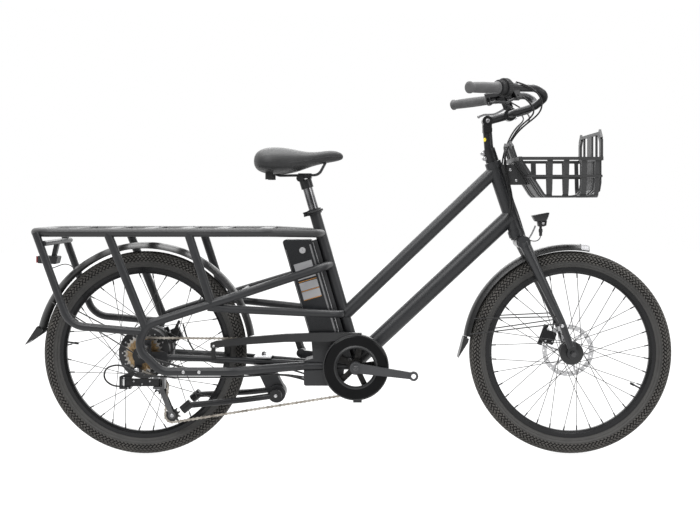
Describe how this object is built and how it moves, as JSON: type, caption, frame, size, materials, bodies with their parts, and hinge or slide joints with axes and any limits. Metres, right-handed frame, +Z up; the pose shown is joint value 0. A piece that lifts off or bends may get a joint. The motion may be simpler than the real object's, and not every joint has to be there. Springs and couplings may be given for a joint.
{
  "type": "cargo bicycle",
  "caption": "Long-tail electric cargo bicycle with a low twin-tube frame, a rear rack deck, a front basket, fenders and a rear hub motor.",
  "frame": {"origin": "on the ground under the middle of the bicycle", "axes": "+X forward, +Y to the rider's left, +Z up"},
  "size_m": [1.9729, 0.6646, 1.1397],
  "materials": {
    "frame_black": "satin black powder coat",
    "steel": "plain",
    "rack_black": "satin black powder coat",
    "tyre_black": "moulded rubber",
    "rim_black": "satin",
    "spoke": "dark",
    "hub_black": "satin",
    "chain_steel": "oiled",
    "alloy": "satin",
    "plastic_black": "textured",
    "alloy_black": "anodised black",
    "plastic_gloss": "smooth",
    "rubber_black": "soft",
    "saddle_cover": "synthetic, slightly grained"
  },
  "bodies": {
    "frame": {"head_tube": "frame_black", "bottom_bracket": "steel", "seat_tube": "frame_black", "lower_main_tube": "frame_black", "upper_main_tube": "frame_black", "side_loops": "frame_black", "rack_stays": "frame_black", "rack_deck": "rack_black", "frame_bridges": "frame_black", "rear_axle": "steel", "chain_guard": "plastic_black", "chain": "chain_steel", "headset_bearings": "alloy_black", "battery_dock": "plastic_black", "rear_fender": "plastic_gloss", "tail_light": "plastic_black", "basket": "plastic_black", "derailleur_body": "alloy_black", "rear_caliper": "alloy_black", "frame_cables": "rubber_black"},
    "steering": {"fork": "frame_black", "front_axle": "steel", "front_fender": "plastic_gloss", "headlight": "plastic_black", "front_caliper": "alloy_black", "stem_quill": "alloy_black", "front_cables": "rubber_black"},
    "bars": {"stem_arm": "alloy_black", "handlebar": "alloy_black", "grips": "rubber_black", "display": "plastic_black"},
    "front_wheel": {"front_tyre": "tyre_black", "front_rim": "rim_black", "front_spokes": "spoke", "front_hub": "hub_black"},
    "rear_wheel": {"rear_tyre": "tyre_black", "rear_rim": "rim_black", "rear_spokes": "spoke", "hub_motor": "hub_black"},
    "sprockets": {"freewheel": "chain_steel"},
    "crankset": {"chainring": "chain_steel", "crank_arms": "alloy"},
    "pedal": {"left_pedal": "plastic_black"},
    "shift_link": {"derailleur_link": "alloy_black"},
    "shift_cage": {"derailleur_cage": "alloy_black"},
    "upper_pulley": {"guide_pulley": "plastic_black"},
    "lower_pulley": {"tension_pulley": "plastic_black"},
    "seat": {"seatpost": "alloy_black", "saddle": "saddle_cover", "saddle_rails": "steel"},
    "seat_lever": {"seat_clamp_lever": "alloy_black"},
    "stand": {"kickstand": "alloy_black"},
    "right_brake": {"brake_lever_right": "alloy_black"},
    "left_brake": {"brake_lever_left": "alloy_black"},
    "shifter": {"twist_shifter": "plastic_black"},
    "key_up": {"button_up": "rubber_black"},
    "key_power": {"button_power": "rubber_black"},
    "key_down": {"button_down": "rubber_black"},
    "battery": {"battery_case": "plastic_black"},
    "lock": {"battery_lock": "steel"}
  },
  "joints": [
    {"name": "steering", "type": "hinge", "parent": "frame", "child": "steering", "pos_m": [0.5164, 0, 0.6653], "axis": [-0.3173, 0, 0.9483], "range_deg": [-60, 60], "deforming": ["front_cables"]},
    {"name": "stem_tilt", "type": "hinge", "parent": "steering", "child": "bars", "pos_m": [0.424, 0, 1.017], "axis": [0, -1, 0], "range_deg": [-10, 35], "deforming": ["front_cables"]},
    {"name": "front_wheel_spin", "type": "hinge", "parent": "steering", "child": "front_wheel", "pos_m": [0.678, 0, 0.31], "axis": [0, 1, 0], "continuous": true},
    {"name": "rear_wheel_spin", "type": "hinge", "parent": "frame", "child": "rear_wheel", "pos_m": [-0.622, 0, 0.31], "axis": [0, 1, 0], "continuous": true},
    {"name": "crank_spin", "type": "hinge", "parent": "frame", "child": "crankset", "pos_m": [0.022, 0, 0.272], "axis": [0, 1, 0], "continuous": true, "deforming": ["chain"]},
    {"name": "freewheel_spin", "type": "hinge", "parent": "frame", "child": "sprockets", "pos_m": [-0.622, 0, 0.31], "axis": [0, 1, 0], "continuous": true},
    {"name": "left_pedal_spin", "type": "hinge", "parent": "crankset", "child": "pedal", "pos_m": [-0.15134, 0, 0.29605], "axis": [0, 1, 0], "continuous": true},
    {"name": "shift_link_swing", "type": "hinge", "parent": "frame", "child": "shift_link", "pos_m": [-0.662, -0.096, 0.231], "axis": [0, 0, 1], "range_deg": [-16.5, 3.3], "deforming": ["chain"]},
    {"name": "shift_cage_swing", "type": "hinge", "parent": "shift_link", "child": "shift_cage", "pos_m": [-0.569, -0.096, 0.231], "axis": [0, 0, 1], "range_deg": [-3.3, 16.5], "deforming": ["chain"]},
    {"name": "guide_pulley_spin", "type": "hinge", "parent": "shift_cage", "child": "upper_pulley", "pos_m": [-0.569, -0.046, 0.212], "axis": [0, 1, 0], "continuous": true},
    {"name": "tension_pulley_spin", "type": "hinge", "parent": "shift_cage", "child": "lower_pulley", "pos_m": [-0.53342, -0.046, 0.12499], "axis": [0, 1, 0], "continuous": true},
    {"name": "seat_height", "type": "slide", "parent": "frame", "child": "seat", "axis": [-0.279, 0, 0.9603], "range_m": [-0.05, 0.06]},
    {"name": "seat_lever_swing", "type": "hinge", "parent": "frame", "child": "seat_lever", "pos_m": [-0.13226, -0.0165, 0.73185], "axis": [0.279, 0, -0.9603], "range_deg": [0, 150]},
    {"name": "stand_fold", "type": "hinge", "parent": "frame", "child": "stand", "pos_m": [-0.219, 0, 0.187], "axis": [0, -1, 0], "range_deg": [0, 105]},
    {"name": "right_brake_pull", "type": "hinge", "parent": "bars", "child": "right_brake", "pos_m": [0.4885, -0.20608, 1.07558], "axis": [-0.5605, 0.6603, -0.4998], "range_deg": [0, 12], "stiffness_Nm_per_rad": 1.2, "springref_deg": -5.73},
    {"name": "left_brake_pull", "type": "hinge", "parent": "bars", "child": "left_brake", "pos_m": [0.50778, 0.18869, 1.07693], "axis": [0.5605, 0.6603, 0.4998], "range_deg": [0, 12], "stiffness_Nm_per_rad": 1.2, "springref_deg": -5.73},
    {"name": "twist_shift", "type": "hinge", "parent": "bars", "child": "shifter", "pos_m": [0.44582, -0.22436, 1.09928], "axis": [0.7416, 0.6688, 0.052], "range_deg": [-110, 22]},
    {"name": "press_up", "type": "slide", "parent": "bars", "child": "key_up", "axis": [0.3615, 0.3332, -0.8708], "range_m": [0, 0.001], "stiffness_N_per_m": 400, "springref_m": -0.0005},
    {"name": "press_power", "type": "slide", "parent": "bars", "child": "key_power", "axis": [0.3615, 0.3332, -0.8708], "range_m": [0, 0.001], "stiffness_N_per_m": 400, "springref_m": -0.0005},
    {"name": "press_down", "type": "slide", "parent": "bars", "child": "key_down", "axis": [0.3615, 0.3332, -0.8708], "range_m": [0, 0.001], "stiffness_N_per_m": 400, "springref_m": -0.0005},
    {"name": "battery_slide", "type": "slide", "parent": "frame", "child": "battery", "axis": [-0.279, 0, 0.9603], "range_m": [0, 0.05]},
    {"name": "lock_turn", "type": "hinge", "parent": "battery", "child": "lock", "pos_m": [-0.14, -0.039, 0.623], "axis": [0, 1, 0], "range_deg": [0, 90]}
  ],
  "couplings": [
    {"joint": "freewheel_spin", "follows": "crank_spin", "ratio": 1.6667},
    {"joint": "guide_pulley_spin", "follows": "crank_spin", "ratio": -3.6364},
    {"joint": "tension_pulley_spin", "follows": "crank_spin", "ratio": 3.6364},
    {"joint": "shift_link_swing", "follows": "twist_shift", "ratio": 0.15},
    {"joint": "shift_cage_swing", "follows": "twist_shift", "ratio": -0.15}
  ]
}
